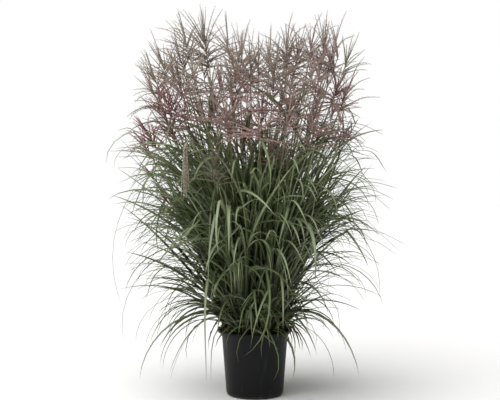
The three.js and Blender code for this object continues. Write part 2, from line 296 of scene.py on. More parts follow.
def nearestOn(path, point):
    best = None
    for a, b in zip(path, path[1:]):
        line = b - a
        share = clamped((point - a).dot(line) / line.length_squared)
        there = a + line * share
        if best is None or (there - point).length < (best - point).length:
            best = there
    return best


def pointedPaths(bm, mostRings, joins):
    # from the tip of each blade back through the middles of its rings, to where joins(point) has it
    paths = []
    for tip in bm.verts:
        ring = linked(tip)
        if len(ring) != 3 or min(e.calc_length() for e in tip.link_edges) < signs["shortestTip"] * mm:
            continue
        if any(b not in linked(a) for a in ring for b in ring if a != b):
            continue
        path, passed, root = [tip.co.copy()], {tip}, None
        for k in range(mostRings + 1):
            root = joins(middle(ring)) if k else None
            if root or len(ring) != 3 or k == mostRings:
                break
            path.append(middle(ring))
            passed |= ring
            ring = set().union(*(linked(v) for v in ring)) - passed
        path.append(root or joins(middle(ring), True))
        paths.append(path[::-1])
    return paths


def readStem(n, tuft, tops):
    plume = mergedCopy(f"panicle_{n + 1:02d}")
    top = min(tops, key=lambda p: min((v.co - p).length for v in plume.verts))
    turn = (n - tuft) / crown["tufts"] * 2 * math.pi / stem["perTuft"]
    turn = tuft * goldenAngle + turn + crown["stemTurn"]
    path = stemPath(footOf(tuft) + facing(turn) * crown["stemCircle"] * mm, top)
    along = (path[-1] - path[-2]).normalized()
    axis = [top + along * stem["seat"] * mm, top + along * (stem["seat"] + stem["axis"]) * mm]
    racemes = pointedPaths(plume, signs["racemeRings"],
                           lambda p, last=False: nearestOn(axis, p) if last else None)
    plume.free()
    return {"n": n, "tuft": tuft, "path": path, "along": along, "foot": axis[0], "racemePaths": racemes,
            "young": ((n * stem["stride"]) % count) / count > stem["ripe"], "leaves": []}


def readPlant():
    stems, loose = [None] * count, []
    for tuft in range(crown["tufts"]):
        foot = footOf(tuft)
        bm = mergedCopy(f"tuft_{tuft + 1:02d}")
        tops = stemTops(bm)
        own = [readStem(n, tuft, tops) for n in range(tuft, count, crown["tufts"])]

        def joins(point, last=False):
            if point.z < (crown["knotTop"] + signs["overKnot"]) * mm:
                inward = (foot - point) * signs["inward"]
                return Vector((point.x + inward.x, point.y + inward.y, crown["root"] * mm))
            near = min((nearestOn(s["path"], point) for s in own), key=lambda p: (p - point).length)
            return near if last or (near - point).length < signs["nearStem"] * mm else None

        for path in pointedPaths(bm, signs["leafRings"], joins):
            if path[0].z < (crown["root"] + signs["overRoot"]) * mm:
                loose.append({"tuft": tuft, "path": path})
            else:
                home = min(own, key=lambda s: (nearestOn(s["path"], path[0]) - path[0]).length)
                home["leaves"].append(path)
        bm.free()
        for s in own:
            stems[s["n"]] = s
    return stems, loose


stems, crownLeaves = readPlant()
print("read", count, "stems,", sum(len(s["leaves"]) for s in stems), "stem leaves,",
      len(crownLeaves), "crown leaves,", sum(len(s["racemePaths"]) for s in stems), "racemes")

# shapes that are bent along a path: a straight one is made once, with z counting its rings


def sweepTemplate(name, section, steps, material=0, pointed=True, creased=False):
    bm = bmesh.new()
    verts = [bm.verts.new((x, y, 0)) for x, y in section]
    bm.faces.new(verts)
    edges = bm.edges[:]
    for k in range(steps):
        made = bmesh.ops.extrude_edge_only(bm, edges=edges)["geom"]
        verts = [g for g in made if isinstance(g, bmesh.types.BMVert)]
        edges = [g for g in made if isinstance(g, bmesh.types.BMEdge) and all(v in verts for v in g.verts)]
        bmesh.ops.translate(bm, verts=verts, vec=(0, 0, 1))
    if pointed:
        bmesh.ops.pointmerge(bm, verts=verts, merge_co=(0, 0, steps))
    else:
        bm.faces.new(verts)
    bmesh.ops.recalc_face_normals(bm, faces=bm.faces)
    uv = bm.loops.layers.uv.new("UVMap")
    bm.verts.layers.float_color.new("tone")
    for face in bm.faces:
        face.smooth = True
        face.material_index = material
        for loop in face.loops:
            x, y, z = loop.vert.co
            loop[uv].uv = (x / 2 + 0.5, z / steps)
    if creased:
        for edge in bm.edges:
            if all(abs(v.co.x) > 0.99 for v in edge.verts):
                edge.smooth = False  # its two long edges
    return asMesh(bm, name)


def roundSection(sides):
    return [(math.cos(k * 2 * math.pi / sides), math.sin(k * 2 * math.pi / sides)) for k in range(sides)]


def startPiece():
    bm = bmesh.new()
    bm.loops.layers.uv.new("UVMap")
    bm.verts.layers.float_color.new("tone")
    return bm


def pasted(bm, mesh):
    # the new vertices, once a mesh has been added
    first = len(bm.verts)
    bm.from_mesh(mesh)
    bm.verts.ensure_lookup_table()
    return bm.verts[first:]


def smoothed(points, steps):
    # a soft curve through the points
    ends = [2 * points[0] - points[1], *points, 2 * points[-1] - points[-2]]
    curve = []
    for i in range(steps + 1):
        at = i / steps * (len(points) - 1)
        k = min(int(at), len(points) - 2)
        f = at - k
        a, b, c, d = ends[k:k + 4]
        curve.append(0.5 * (2 * b + (c - a) * f + (2 * a - 5 * b + 4 * c - d) * f * f
                            + (3 * b - a - 3 * c + d) * f ** 3))
    return curve


def ringsAlong(points, side, size, twist=0.0):
    # for each point: where it is, the directions across and up, and the half sizes along them
    rings, last = [], len(points) - 1
    for k, point in enumerate(points):
        ahead = (points[min(k + 1, last)] - points[max(k - 1, 0)]).normalized()
        side = (side - ahead * side.dot(ahead)).normalized()
        turned = side if not twist else Matrix.Rotation(twist * k / last, 3, ahead) @ side
        wide, deep = size(k / last)
        rings.append((point, turned * wide, ahead.cross(turned) * deep))
    return rings


def layOn(bm, template, rings, tone):
    layer = bm.verts.layers.float_color["tone"]
    for v in pasted(bm, template):
        x, y, z = v.co
        point, across, above = rings[round(z)]
        v.co = point + across * x + above * y
        v[layer] = tone


def finishPiece(bm, name, materials, slot, *nodes):
    mesh = asMesh(bm, name)
    for material in materials:
        mesh.materials.append(material)
    piece = asObject(name, mesh)
    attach(piece, "root")
    if nodes:
        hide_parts(*nodes)
    mesh.calc_loop_triangles()
    tally[name] = len(mesh.loop_triangles)
    return piece


# leaves

blade = {
    "halfWidth": 4.6, "footHalfWidth": 1.3, "halfDepth": 0.95,
    "widens": 0.2,  # it gets wider up to this share of its length
    "narrows": 0.5,  # and narrower from this one on
    "taper": 0.75, "thins": 0.5, "mainSteps": 16, "extraSteps": 12, "shortSteps": 7, "mainTwist": 0.4,
    "twist": 0.7, "kinkAt": (0.35, 0.8), "kinkTurn": (0.5, 1.3),
}
# across and up, in half widths and half depths: two wings that rise from a midrib
mainSection = [(-1, 0.75), (0, -1.0), (1, 0.75), (0.5, 0.3), (0, -0.35), (-0.5, 0.3)]
extraSection = [(-1, 0.75), (0, -0.9), (1, 0.75), (0, -0.1)]
# by their number of steps
bladeTemplates = {
    blade["mainSteps"]: sweepTemplate("main blade", mainSection, blade["mainSteps"], creased=True),
    blade["extraSteps"]: sweepTemplate("extra blade", extraSection, blade["extraSteps"], creased=True),
    blade["shortSteps"]: sweepTemplate("short blade", extraSection, blade["shortSteps"], creased=True),
}


def bladeSize(width):
    def size(share):
        swell = mix(blade["footHalfWidth"], blade["halfWidth"], min(share / blade["widens"], 1))
        left = 1 - max(share - blade["narrows"], 0) / (1 - blade["narrows"])
        wide = min(swell, blade["halfWidth"] * left ** blade["taper"])
        return wide * width * mm, blade["halfDepth"] * (1 - blade["thins"] * share) * mm
    return size


def layLeaf(bm, points, tone, width=1.0, twist=0.0, roll=0.0):
    # level, and square to where the blade heads, unless it is rolled
    ahead = points[2 * len(points) // 3] - points[0]
    side = Vector((-ahead.y, ahead.x, 0))
    side = side.normalized() if side.length > 1e-6 else Vector((1, 0, 0))
    if roll:
        side = Matrix.Rotation(roll, 3, (points[1] - points[0]).normalized()) @ side
    layOn(bm, bladeTemplates[len(points) - 1], ringsAlong(points, side, bladeSize(width), twist), tone)


def opened(along, heading, angle):
    # a direction that opens from another by an angle, towards a compass heading
    return (along * math.cos(angle) + facing(heading) * math.sin(angle)).normalized()


def arched(start, direction, length, bend, late, swing, steps, kink=None):
    # sets off in a direction and bends over as it gets longer, and a kink folds it down from a share of it on
    lean = math.acos(clamped(direction.z)) if direction.z > 0 else math.pi / 2 - direction.z
    heading = math.atan2(direction.y, direction.x)
    points = [start.copy()]
    for k in range(steps):
        share = k / max(steps - 1, 1)
        tilt = lean + bend * share ** late
        if kink and share > kink[0]:
            tilt += kink[1]
        turn = heading + swing * share
        step = Vector((math.sin(tilt) * math.cos(turn), math.sin(tilt) * math.sin(turn), math.cos(tilt)))
        points.append(points[-1] + step * length / steps)
    return points


# where leaves and plumes have room, in millimetres
room = {
    "lowest": 45,
    # below the lip they are either this far outside the container, or in its mouth over the soil
    "lip": 205, "outside": 119, "mouth": 98, "soil": 180,
    "shift": -45,  # the clump's middle is left of the container's
    "leafReach": 450,
    "leafTop": 830,  # above this height leaves keep within the crown's edge
    # heights and radii: the crown is widest where the lowest plumes nod
    "edge": [(600, 395), (640, 400), (790, 380), (870, 325), (1000, 315), (1090, 285), (1200, 250)],
    "tries": 14,
}


def farOut(p):
    return math.hypot(p.x / mm - room["shift"], p.y / mm)


def hasRoom(points, margin=3 * mm):
    # inside the model's box, and clear of the container
    low, high = cadBox
    for a, b in zip(points, points[1:]):
        for p in (b, (a + b) / 2):
            if any(p[i] < low[i] - margin or p[i] > high[i] + margin for i in (0, 1)):
                return False
            if p.z > high.z + margin or p.z < room["lowest"] * mm:
                return False
            out = math.hypot(p.x, p.y)
            inMouth = out < room["mouth"] * mm and p.z > room["soil"] * mm
            if p.z < room["lip"] * mm and out < room["outside"] * mm and not inMouth:
                return False
    return all(farOut(p) < room["leafReach"] for p in points)


def inCrown(points, lowest=0):
    for p in points[1:]:
        if p.z < lowest * mm:
            continue
        high, out = p.z / mm, farOut(p)
        for (z0, r0), (z1, r1) in zip(room["edge"], room["edge"][1:]):
            if z0 <= high < z1 and out > mix(r0, r1, (high - z0) / (z1 - z0)):
                return False
    return True


def firstWithRoom(make):
    for attempt in range(room["tries"]):
        points = make()
        if hasRoom(points) and inCrown(points, room["leafTop"]):
            return points
    return None


def pointOn(path, share):
    at = share * (len(path) - 1)
    k = min(int(at), len(path) - 2)
    return path[k].lerp(path[k + 1], at - k), (path[k + 1] - path[k]).normalized()


# its third part is how much painted shade a leaf gets for being deep in the clump
def greenTone(dry=0.0, shade=0.0):
    return (draw.random(), clamped(dry), clamped(shade), 1)


# the kinds of leaf besides the model's: how far one turns aside and tilts from what bears it, its length in
# millimetres, how far and how late it bends over, how far it swings round, how often it has a kink, its
# width and how far it is rolled. Those from the knot start some way from its middle, some leaves have a
# painted shade, darker for being deep in the clump, and some may be dry
leafKinds = {
    "stem": {"aside": 2.2, "tilt": (0.25, 0.75), "length": (360, 600), "topLength": 260, "bend": (0.5, 2.5),
             "late": (0.8, 2.6), "swing": 1.1, "kinks": 0.1, "width": (0.9, 1.35), "roll": 0.9},
    "sideStem": {"aside": 1.9, "tilt": (0.2, 0.45), "length": (330, 500), "topLength": 230,
                 "bend": (1.0, 2.6), "late": (0.9, 2.2), "swing": 0.8, "width": (0.7, 1.0), "roll": 0.6},
    "shoot": {"aside": 0.8, "tilt": (0.12, 0.5), "length": (280, 540), "bend": (0.1, 1), "late": (0.8, 2.8),
              "swing": 0.9, "kinks": 0.1, "width": (0.8, 1.25), "roll": 0.9, "shade": 0.8},
    # upright, from the knot
    "core": {"from": (3, 13), "aside": 1.1, "leans": (0.5, 1.2), "tilt": (0, 0.14), "length": (400, 740),
             "bend": (0.05, 0.8), "late": (1.5, 3), "swing": 0.4, "width": (0.7, 1.05), "roll": 1.2,
             "shade": 1.0},
    # arched out over the lip
    "low": {"from": 9, "aside": 1.0, "tilt": (0.15, 0.65), "length": (250, 470), "bend": (1.2, 2.6),
            "late": (0.7, 1.2), "swing": 0.4, "width": (0.9, 1.2), "roll": 0.5, "shade": 0.7,
            "dry": lambda: 0.9 if draw.random() < 0.08 else 0},
    # broad and pale, and stand out in front
    "bright": {"from": 9, "aside": 1.5, "tilt": (0.05, 0.4), "length": (440, 720), "bend": (0.3, 1.9),
               "late": (1.2, 3), "swing": 1.2, "kinks": 0.3, "width": (0.95, 1.2), "roll": 0.4, "twist": 0.6,
               "tone": (0.93, 1), "steps": blade["mainSteps"]},
    # lean on the lip and widen the clump's foot
    "skirt": {"from": (6, 12), "tilt": (0.35, 0.8), "length": (150, 340), "bend": (-0.1, 1.6),
              "late": (1, 2.2), "swing": 0.9, "width": (0.7, 1.15), "roll": 0.9, "shade": 0.8},
    # the thin short last leaves of spent shoots
    "wisp": {"from": 10, "aside": 1.4, "tilt": (0.1, 0.8), "length": (110, 300), "bend": (0.8, 3.0),
             "late": (0.5, 1.2), "swing": 1.6, "width": (0.5, 0.9), "roll": 1, "shade": 0.2,
             "dry": lambda: max(between(-0.6, 0.8), 0), "steps": blade["shortSteps"]},
}
growth = {
    "stemLeaves": 4,  # on each flowering stem, besides the model's
    "lowestLeaf": 0.04, "leafSpan": 0.72, "core": 25, "low": 5, "lowInner": 2, "bright": 3, "skirt": 7,
    "skirtTurn": 1.5, "wisps": 8,
    "inner": 0.4,  # tufts less than this share of the circle from its middle have no outer side
    "lean": 0.30,  # how far a shoot on the circle leans out, and those inside it less
    "reach": 1.06,
    # the clump grows further out to the left, and thicker
    "leftReach": 0.22, "leftShoots": 3, "leftLow": 11, "leftLowReach": 0.2,
    "endSkirt": 9,  # more at its two ends
    "rightCore": 4,  # fewer to the right
}
shoot = {
    "number": 4,  # leafy, without a plume, for each tuft
    "height": (230, 520), "from": (5, 12), "aside": 0.7, "leans": (0.6, 1.25), "tilt": (0.02, 0.12),
    "bend": (0, 0.25), "late": 1.2, "steps": 9, "leaves": 6, "leafSpan": 0.9,
    "pair": 0.5,  # its two lowest leaves are opposite each other, at this angle from its heading
    "anywhere": 2,
    "droop": (0.7, 2.1),  # how far its leaves bend over, low down and high up on the clump
    "droops": (240, 460),
}


def leafPath(kind, start, along, heading, stretch=1.0, droop=1.0, share=0.0, lean=0.0):
    # one try at it, and it only draws what its kind has
    if "aside" in kind:
        heading += eitherWay(kind["aside"])
    tilt = lean * within(kind["leans"]) if "leans" in kind else 0
    tilt += within(kind["tilt"])
    length = within(kind["length"])
    if "topLength" in kind:
        length = mix(length, kind["topLength"], share)
    bend, late, swing = within(kind["bend"]) * droop, within(kind["late"]), eitherWay(kind["swing"])
    kink = None
    if "kinks" in kind and draw.random() < kind["kinks"]:
        kink = (within(blade["kinkAt"]), within(blade["kinkTurn"]))
    return arched(start, opened(along, heading, tilt), length * stretch * mm, bend, late, swing,
                  kind.get("steps", blade["extraSteps"]), kink)


def addLeaf(bm, kind, *place, **form):
    width = within(kind["width"])
    dry = kind["dry"]() if "dry" in kind else 0
    roll = eitherWay(kind["roll"])
    points = firstWithRoom(lambda: leafPath(kind, *place, **form))
    if points:
        layLeaf(bm, points, greenTone(dry, kind.get("shade", 0)), width, eitherWay(blade["twist"]), roll)


# stems and sheaths

cane = {
    "steps": 24, "buried": 12, "joints": 6,
    "joint": 1.16,  # how much thicker a stem is at a joint
    "jointReach": 0.02, "radii": (3.1, 1.65), "shootRadii": (2.3, 1.0), "sideRadii": (1.9, 1.1),
}
# the knot with the stubs and papery sheaths of last year's shoots
knot = {
    "rings": [(154.2, 13.4), (166, 13.9), (178, 14), (182, 13.2), (184.4, 10), (185, 0)],  # heights and radii
    "stubs": 16, "stubCircle": 13.5, "stubFoot": 176, "stubLean": (0.05, 0.35), "stubLength": (22, 62),
    "stubBend": (-0.2, 0.3), "stubRadius": (1.4, 3.2), "stubSteps": 5,
    "shown": 6,  # how far up from its foot a stub comes out
}
caneTemplate = sweepTemplate("cane", roundSection(7), cane["steps"], material=1, pointed=False)
shootTemplate = sweepTemplate("shoot", roundSection(5), shoot["steps"], material=1)
sheathTemplate = sweepTemplate("sheath", roundSection(6), knot["stubSteps"], material=2, creased=True)


def caneSize(low, high):
    def size(share):
        joint = (abs(share * cane["joints"] - round(share * cane["joints"])) < cane["jointReach"]
                 and cane["jointReach"] < share < 1 - cane["jointReach"])
        radius = mix(low, high, share) * (cane["joint"] if joint else 1) * mm
        return radius, radius
    return size


def layCane(bm, template, points, radii, tone):
    layOn(bm, template, ringsAlong(points, Vector((1, 0, 0)), caneSize(*radii)), tone)


def roundFoot(foot, turn, kind):
    return foot + facing(turn) * within(kind["from"]) * mm


def nearFoot(foot, kind):
    return foot + Vector((eitherWay(kind["from"]), eitherWay(kind["from"]), 0)) * mm


def growTuft(tuft):
    foot = footOf(tuft)
    outward = math.atan2(foot.y, foot.x)
    out = math.hypot(foot.x, foot.y) / (crown["circle"] * mm)
    isInner = out < growth["inner"]
    bm = startPiece()
    own = [s for s in stems if s["tuft"] == tuft]
    leftness = -foot.x / (crown["circle"] * mm)
    reach = growth["reach"] + growth["leftReach"] * leftness
    lean = out * growth["lean"]

    # the stems and leaves of the model
    for s in own:
        points = smoothed([s["path"][0] - up * cane["buried"] * mm, *s["path"]], cane["steps"])
        layCane(bm, caneTemplate, points, cane["radii"], (draw.random(), 0.25 if s["young"] else 0.1, 0, 1))
        for path in s["leaves"]:
            layLeaf(bm, smoothed(path, blade["mainSteps"]), greenTone(), twist=eitherWay(blade["mainTwist"]))
    for leaf in crownLeaves:
        if leaf["tuft"] == tuft:
            points = smoothed(leaf["path"], blade["mainSteps"])
            layLeaf(bm, points, greenTone(), twist=eitherWay(blade["mainTwist"]))

    # more leaves on the flowering stems
    for s in own:
        for k in range(growth["stemLeaves"]):
            share = (k + between(0.1, 0.9)) / growth["stemLeaves"] * growth["leafSpan"] + growth["lowestLeaf"]
            start, along = pointOn(s["path"], share)
            addLeaf(bm, leafKinds["stem"], start, along, math.atan2(start.y, start.x), reach, share=share)

    # leafy shoots
    for k in range(shoot["number"] + round(growth["leftShoots"] * clamped(leftness))):
        turn = k * goldenAngle + tuft
        start = roundFoot(foot, turn, shoot)
        heading = (outward if not isInner else turn) + eitherWay(shoot["aside"])
        length = within(shoot["height"]) * mm
        tilt = lean * within(shoot["leans"]) + within(shoot["tilt"])
        axis = arched(start, opened(up, heading, tilt), length, within(shoot["bend"]), shoot["late"], 0,
                      shoot["steps"])
        if not hasRoom(axis):
            continue
        layCane(bm, shootTemplate, axis, cane["shootRadii"], (draw.random(), 0.05, 0.4, 1))
        for j in range(shoot["leaves"]):
            begin, along = pointOn(axis, (j + 1) / shoot["leaves"] * shoot["leafSpan"])
            aside = heading + (shoot["pair"] + j % 2 * math.pi if j < 2 else eitherWay(shoot["anywhere"]))
            low, high = shoot["droops"]
            droop = mix(*shoot["droop"], clamped((begin.z / mm - low) / (high - low)))
            addLeaf(bm, leafKinds["shoot"], begin, along, aside, reach, droop)

    # blades from the knot
    for k in range(growth["core"] - round(growth["rightCore"] * clamped(-leftness))):
        turn = k * goldenAngle
        start = roundFoot(foot, turn, leafKinds["core"])
        addLeaf(bm, leafKinds["core"], start, up, outward if not isInner else turn, lean=lean)
    more = round(growth["leftLow"] * clamped(leftness))
    for k in range(growth["low"] + more if not isInner else growth["lowInner"]):
        start = nearFoot(foot, leafKinds["low"])
        addLeaf(bm, leafKinds["low"], start, up, outward, 1 + growth["leftLowReach"] * clamped(leftness))
    for k in range(growth["bright"]):
        kind = leafKinds["bright"]
        start = nearFoot(foot, kind)
        points = firstWithRoom(lambda: leafPath(kind, start, up, outward))
        if points:
            layLeaf(bm, points, (within(kind["tone"]), 0, 0, 1), within(kind["width"]),
                    eitherWay(kind["twist"]), eitherWay(kind["roll"]))
    for k in range(growth["skirt"] + round(growth["endSkirt"] * abs(leftness)) if not isInner else 0):
        turn = outward + eitherWay(growth["skirtTurn"])
        addLeaf(bm, leafKinds["skirt"], roundFoot(foot, turn, leafKinds["skirt"]), up, turn, reach)
    for k in range(growth["wisps"] if not isInner else 0):
        addLeaf(bm, leafKinds["wisp"], nearFoot(foot, leafKinds["wisp"]), up, outward, reach)

    growKnot(bm, foot, tuft)
    finishPiece(bm, f"grass_tuft_{tuft + 1:02d}", [leafMaterial, caneMaterial, sheathMaterial],
                "foliage", f"tuft_{tuft + 1:02d}")


def growKnot(bm, foot, tuft):
    rings = [(Vector((foot.x, foot.y, z * mm)), Vector((radius * mm, 0, 0)), Vector((0, radius * mm, 0)))
             for z, radius in knot["rings"]]
    layOn(bm, sheathTemplate, rings, (draw.random(), 0.2, 0.9, 1))
    for k in range(knot["stubs"]):
        turn = k * goldenAngle + tuft
        out = knot["stubCircle"] * math.sqrt((k + 1) / knot["stubs"])
        start = Vector((foot.x + out * math.cos(turn) * mm, foot.y + out * math.sin(turn) * mm,
                        knot["stubFoot"] * mm))
        points = arched(start, opened(up, turn, within(knot["stubLean"])), within(knot["stubLength"]) * mm,
                        within(knot["stubBend"]), 1, 0, knot["stubSteps"])
        if not hasRoom([points[0] + up * knot["shown"] * mm, *points[1:]]):
            continue
        wide = within(knot["stubRadius"])

        def size(share):
            return wide * (1 - 0.45 * share) * mm, wide * (0.8 - 0.5 * share) * mm
        layOn(bm, sheathTemplate, ringsAlong(points, Vector((math.sin(turn), -math.cos(turn), 0)), size),
              (draw.random(), between(0.3, 1), between(0.2, 1), 1))


# plumes

plume = {
    "sideRacemes": 23, "spikelets": 26, "spikelet": 9.5, "spikeletRadius": 1.5,
    "belly": 3.2,  # how far up a spikelet is widest
    "hairRadius": 0.48, "rachis": 1.5,
    "rachisTip": 0.25,  # as a share of its foot
    "spikeletsAt": (0.04, 0.93),  # from here on, and over so much of a raceme
    "smallest": 0.75,  # how much smaller a spikelet is at the tip
    "rachisSteps": 6, "axisSteps": 6,
    "axis": (1.7, 0.9),  # half its thickness at the foot, and how much less at the top
    "racemesAt": (0.02, 0.95),
    "headingBy": 0.6, "late": (1, 1.8), "swing": 0.35, "ripeBy": 0.12, "margin": 8,
    "bends": 8, "tries": 10, "stride": 7,
}
racemeKinds = {
    "ripe": {
        "number": 28, "length": (92, 150),
        "shorter": 0.25,  # by this share at the top of the plume
        "open": (1.55, 0.08),  # from the axis, at the plume's foot and at its top
        "openLate": 1.05, "openBy": 0.15, "bend": (0, 1.4), "topBend": (-0.1, 0.2), "drawnLength": 145,
        "spikeletTilt": (0.14, 0.42), "hairTilt": (0.25, 0.8), "hair": 10.0, "hairs": 2, "templates": 4,
    },
    "young": {
        "number": 25, "length": (78, 128), "shorter": 0.15, "open": (1.35, 0.2), "openLate": 1,
        "openBy": 0.2, "bend": (-0.1, 0.9), "drawnLength": 122, "spikeletTilt": (0.12, 0.36),
        "hairTilt": (0.15, 0.45), "hair": 7.5, "hairs": 1, "templates": 3,
    },
}


def addShape(bm, source, matrix, hairy):
    new = pasted(bm, source)
    bmesh.ops.transform(bm, matrix=matrix, verts=new)
    layer = bm.verts.layers.float_color["tone"]
    for v in new:
        v[layer] = (0, 0, hairy, 0)


def spindleMesh(name, radius, low, high):
    # three sided, pointed at its upper end, and also at its lower end if that is drawn out
    bm = startPiece()
    bmesh.ops.create_cone(bm, segments=3, radius1=radius, radius2=0, depth=high,
                          matrix=Matrix.Translation((0, 0, low + high / 2)))
    if low:
        flip = Matrix.Translation((0, 0, low / 2)) @ Matrix.Scale(-1, 4, (0, 0, 1))
        bmesh.ops.create_cone(bm, segments=3, radius1=radius, radius2=0, depth=low, matrix=flip)
    bmesh.ops.remove_doubles(bm, verts=bm.verts, dist=1e-6)
    if not low:
        bm.faces.new([v for v in bm.verts if abs(v.co.z) < 1e-7])
    bmesh.ops.recalc_face_normals(bm, faces=bm.faces)
    for face in bm.faces:
        face.smooth = True
    return asMesh(bm, name)


def racemeTemplate(name, kind):
    # upright, z from 0 at its foot to 1 at its tip
    bm = startPiece()
    steps = plume["rachisSteps"]
    for v in pasted(bm, sweepTemplate(name + " rachis", roundSection(3), steps)):
        share = v.co.z / steps
        v.co = Vector((v.co.x, v.co.y, 0)) * plume["rachis"] * mix(1, plume["rachisTip"], share) * mm
        v.co.z = share
    squash = Matrix.Diagonal((1, 1, 1 / (kind["drawnLength"] * mm), 1))
    first, span = plume["spikeletsAt"]
    for k in range(plume["spikelets"]):
        share = first + span * (k + eitherWay(0.25)) / plume["spikelets"]
        turn = k * math.pi + eitherWay(0.7)
        tilt = within(kind["spikeletTilt"])
        size = between(0.85, 1.15) * (1.18 - plume["smallest"] * share)
        place = Matrix.Translation((0, 0, share)) @ squash @ Matrix.Rotation(turn, 4, "Z")
        addShape(bm, spikeletMesh, place @ Matrix.Rotation(tilt, 4, "Y") @ Matrix.Scale(size, 4),
                 clamped(mix(0, 0.75, share) + between(-0.1, 0.2)))
        for j in range(kind["hairs"]):
            spin = Matrix.Rotation(eitherWay(1.4), 4, "Z")
            spin = place @ spin @ Matrix.Rotation(within(kind["hairTilt"]), 4, "Y")
            long = kind["hair"] * between(0.75, 1.15) * (1 - 0.3 * share)
            addShape(bm, hairMesh, spin @ Matrix.Diagonal((1, 1, long, 1)), between(0.8, 1))
    return asMesh(bm, name)


spikeletMesh = spindleMesh("spikelet", plume["spikeletRadius"] * mm, plume["belly"] * mm,
                           (plume["spikelet"] - plume["belly"]) * mm)
hairMesh = spindleMesh("hair", plume["hairRadius"] * mm, 0, 1 * mm)
axisTemplate = sweepTemplate("plume axis", roundSection(5), plume["axisSteps"])
for name, kind in racemeKinds.items():
    kind["made"] = [racemeTemplate(f"{name} raceme {k}", kind) for k in range(kind["templates"])]


def layRaceme(bm, template, points, ripe, olive=0):
    isAcross = abs((points[1] - points[0]).normalized().x) < 0.8
    frames = ringsAlong(points, Vector((1, 0, 0)) if isAcross else Vector((0, 1, 0)),
                        lambda share: (1, 1), eitherWay(1.5))
    last = len(points) - 1
    spin = between(0, 2 * math.pi)
    cosine, sine = math.cos(spin), math.sin(spin)
    new = pasted(bm, template)
    layer = bm.verts.layers.float_color["tone"]
    shade = draw.random()
    for v in new:
        x, y, z = v.co
        k = min(max(int(z * last), 0), last - 1)
        f = z * last - k
        a, b = frames[k], frames[k + 1]
        x, y = x * cosine - y * sine, x * sine + y * cosine
        v.co = (a[0] + (b[0] - a[0]) * f) + (a[1] + (b[1] - a[1]) * f) * x + (a[2] + (b[2] - a[2]) * f) * y
        v[layer] = (shade, clamped(ripe), v[layer][2], olive)


def layAxis(bm, points, low, less, tone):
    def size(share):
        return ((low - less * share) * mm,) * 2
    layOn(bm, axisTemplate, ringsAlong(points, Vector((1, 0, 0)), size), tone)


def growPlume(bm, foot, along, head, paths=()):
    # its axis, the model's racemes, and more of them wherever there is room
    kind = racemeKinds["young" if head["young"] else "ripe"]
    ripe, olive, wide, reach = head["ripe"], head.get("olive", 0), head.get("wide", 1), head.get("reach", 1)
    total = head["racemes"]
    top = foot + along * stem["axis"] * reach * mm
    steps = plume["axisSteps"]
    points = [foot.lerp(top, k / steps) for k in range(steps + 1)]
    layAxis(bm, points, *plume["axis"], (draw.random(), ripe, 0, olive))
    for path in paths:
        layRaceme(bm, draw.choice(kind["made"]), smoothed(path, plume["bends"]), ripe + eitherWay(0.1), olive)
    first, span = plume["racemesAt"]
    for k in range(len(paths), total):
        share = ((k * plume["stride"]) % total + 0.5) / total
        start = foot.lerp(top, first + span * share)
        for attempt in range(plume["tries"]):
            heading = k * goldenAngle + eitherWay(plume["headingBy"])
            tilt = (mix(*kind["open"], share ** kind["openLate"]) + eitherWay(kind["openBy"])) * wide
            length = within(kind["length"]) * (1 - kind["shorter"] * share)
            bend = within(kind["bend"])
            if "topBend" in kind:
                bend = mix(bend, within(kind["topBend"]), share)
            points = arched(start, opened(along, heading, tilt), length * reach * mm, bend * wide,
                            within(plume["late"]), eitherWay(plume["swing"]), plume["bends"])
            if hasRoom(points, plume["margin"] * mm) and (head.get("free") or inCrown(points)):
                layRaceme(bm, draw.choice(kind["made"]), points, ripe + eitherWay(plume["ripeBy"]), olive)
                break


tassel = {
    "bow": 52, "bend": 2.5, "late": 0.7, "axis": (1.5, 0.8), "span": (0.55, 0.98), "opens": (0.02, 0.15),
    "strand": (80, 122), "sag": 0.25,
}


def growTassel(bm, top, along, head):
    # a head that hangs from its bowed stem
    bends = plume["bends"]
    bow = arched(top, along, tassel["bow"] * mm, tassel["bend"], tassel["late"], 0, bends)
    layAxis(bm, smoothed(bow, plume["axisSteps"]), *tassel["axis"], (0.5, head["ripe"], 0, 0))
    for k in range(head["racemes"]):
        start = pointOn(bow, mix(*tassel["span"], k / head["racemes"]))[0]
        direction = opened(-up, k * goldenAngle, within(tassel["opens"]))
        length = within(tassel["strand"]) * mm
        strand = [start + direction * length * j / bends - up * tassel["sag"] * length * (j / bends) ** 2
                  for j in range(bends + 1)]
        layRaceme(bm, draw.choice(racemeKinds["ripe"]["made"]), strand, head["ripe"] + eitherWay(0.1))


# more flowering stems between the model's, spread evenly over the crown
side = {
    "heads": 26, "spread": 290, "firstTurn": 1.3, "highest": 930, "lowest": 700,
    "droop": 50,  # how much lower the outermost stand
    "stride": 13,
    "splay": 3.6,  # from a tuft's foot to the middle of its heads
    "footCircle": 8, "leaves": 5, "lowestLeaf": 0.08, "leafStep": 0.12,
}
